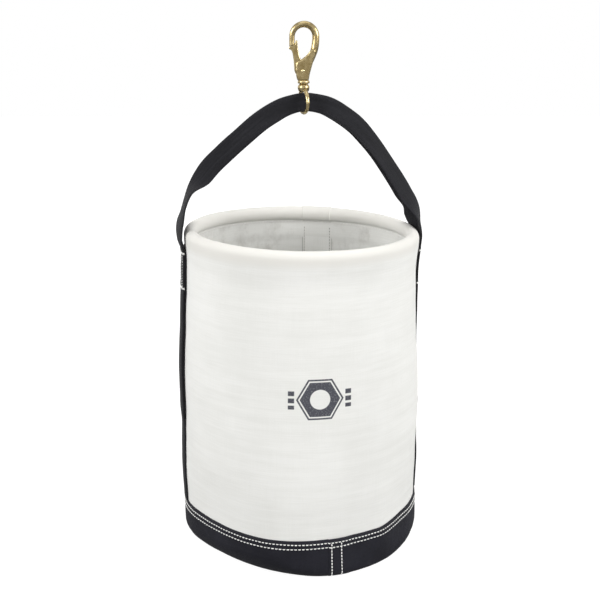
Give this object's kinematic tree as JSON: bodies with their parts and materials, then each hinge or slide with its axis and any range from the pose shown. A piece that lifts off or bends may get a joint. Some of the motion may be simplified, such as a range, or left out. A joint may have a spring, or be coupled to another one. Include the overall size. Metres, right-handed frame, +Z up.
{
  "type": "canvas tool bucket",
  "caption": "Round canvas tool bucket with a hooped rim, sewn black boot, web strap handle and a swivel snap hook with a sprung gate.",
  "frame": {"origin": "on the ground at the centre of the bucket's footprint", "axes": "+Z up; +X to the bucket's right strap and -X to its left strap, with the handle's arch over the X axis; -Y is the front"},
  "size_m": [0.3258, 0.3226, 0.6789],
  "materials": {
    "canvas": "heavy natural duck, matte",
    "webbing": "black woven webbing, matte",
    "boot": "black grained, satin",
    "thread": "white bonded thread",
    "hoop": "moulded pipe, hidden in the hem",
    "board": "pressed fibre board, hidden in the bottom",
    "brass": "cast, tumbled",
    "spring": "drawn wire"
  },
  "bodies": {
    "bucket": {"canvas_wall": "canvas", "rim_hem": "canvas", "wall_seam_strip": "canvas", "canvas_floor": "canvas", "top_hoop": "hoop", "hoop_splice": "hoop", "bottom_board": "board", "boot_band": "boot", "boot_bottom": "boot", "seam_thread_left": "thread", "seam_thread_right": "thread", "hem_thread": "thread", "boot_thread_upper": "thread", "boot_thread_lower": "thread", "boot_seam_thread_left": "thread", "boot_seam_thread_right": "thread", "strap_tack_left": "thread", "strap_tack_right": "thread", "side_strap_left": "webbing", "side_strap_right": "webbing"},
    "handle": {"handle_strap": "webbing"},
    "eye": {"swivel_eye": "brass"},
    "hook": {"hook_body": "brass", "gate_pin": "brass", "gate_spring": "spring"},
    "gate": {"gate_lever": "brass"}
  },
  "joints": [
    {"name": "handle_swing", "type": "hinge", "parent": "bucket", "child": "handle", "pos_m": [0, 0, 0.449], "axis": [0.9903, 0.1392, 0], "range_deg": [-85, 85]},
    {"name": "eye_swing", "type": "hinge", "parent": "handle", "child": "eye", "pos_m": [0.0045, 0, 0.5802], "axis": [0.9397, 0.342, 0], "range_deg": [-110, 110]},
    {"name": "hook_swivel", "type": "hinge", "parent": "eye", "child": "hook", "pos_m": [0.0045, 0, 0.6034], "axis": [0, 0, 1], "continuous": true},
    {"name": "gate_open", "type": "hinge", "parent": "hook", "child": "gate", "pos_m": [0.0035, 0, 0.619], "axis": [0, 1, 0], "range_deg": [0, 22], "stiffness_Nm_per_rad": 0.05, "springref_deg": -11.46}
  ]
}
